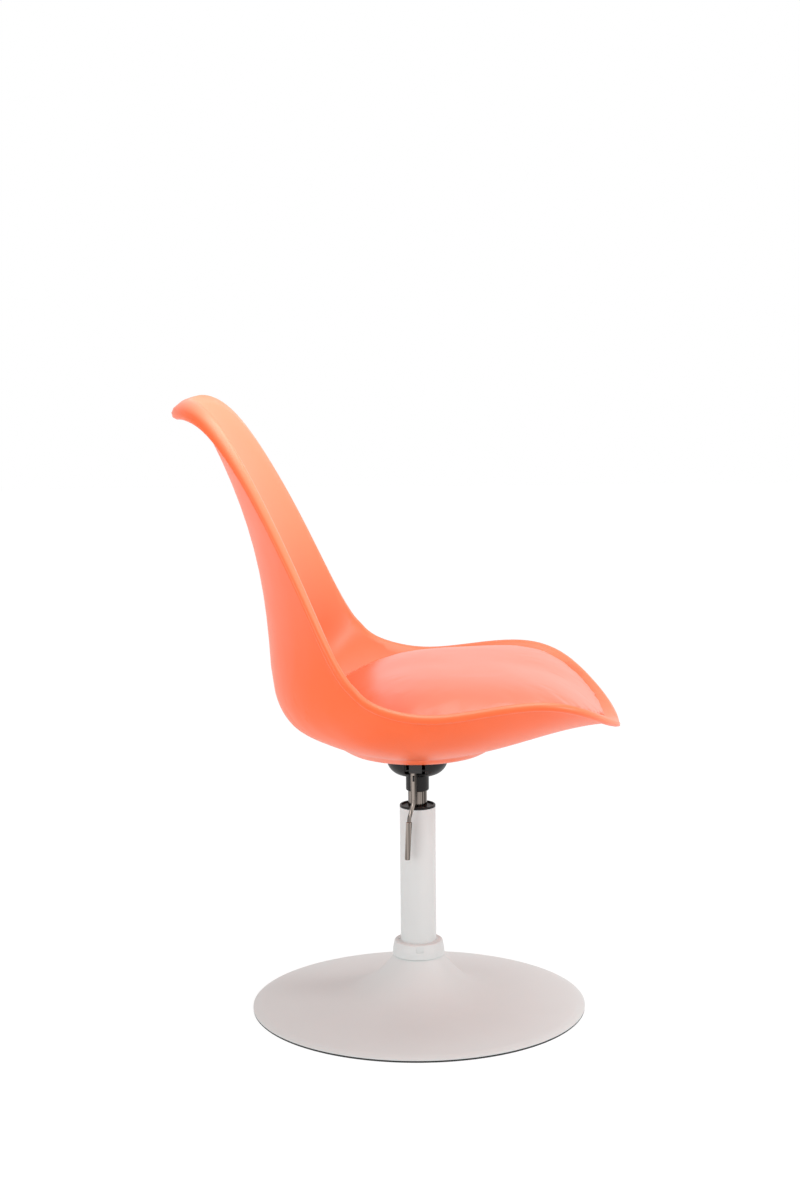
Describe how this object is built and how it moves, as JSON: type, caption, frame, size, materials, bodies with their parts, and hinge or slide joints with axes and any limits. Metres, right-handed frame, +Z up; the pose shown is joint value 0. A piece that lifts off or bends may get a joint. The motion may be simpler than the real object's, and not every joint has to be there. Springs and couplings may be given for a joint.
{
  "type": "swivel dining chair",
  "caption": "Bucket-seat dining chair with a padded seat, on a height-adjustable gas column and a round trumpet base.",
  "frame": {"origin": "on the column's axis, in the plane where the base ring rests on the floor", "axes": "+Z up along the column, +X to the front of the seat, +Y to the sitter's left"},
  "size_m": [0.5863, 0.4807, 0.8282],
  "materials": {
    "base_rubber": "matte",
    "base_steel": "satin",
    "base_paint": "satin powder coat",
    "zinc": "zinc plated",
    "dark_steel": "black",
    "bearing_steel": "ground",
    "bearing_brass": "plain",
    "aluminium": "turned",
    "chrome": "polished",
    "white_plastic": "plain",
    "black_plastic": "satin",
    "shell_plastic": "satin, moulded",
    "board_wood": "plain plywood",
    "cushion_leather": "smooth imitation leather",
    "cushion_foam": "open foam"
  },
  "bodies": {
    "base": {"rim_gasket": "base_rubber", "base_plate": "base_steel", "base_dish": "base_paint", "column_tube": "base_paint", "column_flange": "base_steel", "flange_screws": "zinc", "flange_nuts": "zinc", "base_collar": "base_paint", "collar_screw": "dark_steel", "guide_bush": "black_plastic", "bearing_bottom_race": "bearing_steel"},
    "ball_cage": {"ball_cage": "bearing_brass", "bearing_balls": "bearing_steel"},
    "spindle": {"piston_rod": "bearing_steel", "rod_clip": "dark_steel", "rubber_buffer": "base_rubber", "bearing_top_race": "bearing_steel", "piston": "aluminium", "piston_seal": "base_rubber"},
    "lift": {"gas_cylinder": "chrome", "cylinder_guide": "white_plastic", "cylinder_seal": "base_rubber", "valve_block": "aluminium", "valve_spring": "dark_steel", "mechanism_channel": "dark_steel", "lever_pin": "zinc", "cone_socket": "dark_steel", "neck_boot": "black_plastic", "mechanism_cover": "black_plastic", "mounting_plate": "dark_steel", "seat_bolts": "zinc", "bolt_washers": "zinc", "shell_inserts": "bearing_brass", "seat_shell": "shell_plastic", "cushion_board": "board_wood", "cushion_screws": "zinc", "cushion_cover": "cushion_leather", "cushion_foam": "cushion_foam"},
    "lever": {"lever_hub": "dark_steel", "lever": "chrome", "lever_grip": "chrome"},
    "button": {"valve_button": "bearing_steel"}
  },
  "joints": [
    {"name": "swivel", "type": "hinge", "parent": "base", "child": "spindle", "pos_m": [0, 0, 0], "axis": [0, 0, 1], "continuous": true},
    {"name": "cage_spin", "type": "hinge", "parent": "base", "child": "ball_cage", "pos_m": [0, 0, 0], "axis": [0, 0, 1], "continuous": true},
    {"name": "lift", "type": "slide", "parent": "spindle", "child": "lift", "axis": [0, 0, 1], "range_m": [0, 0.12]},
    {"name": "lever_pull", "type": "hinge", "parent": "lift", "child": "lever", "pos_m": [0, -0.024, 0.3475], "axis": [-1, 0, 0], "range_deg": [0, 8], "stiffness_Nm_per_rad": 0.6, "springref_deg": -11.46},
    {"name": "button_press", "type": "slide", "parent": "lift", "child": "button", "axis": [0, 0, -1], "range_m": [0, 0.0034]}
  ],
  "couplings": [
    {"joint": "cage_spin", "follows": "swivel", "ratio": 0.5},
    {"joint": "button_press", "follows": "lever_pull", "m_per_rad": 0.024}
  ]
}
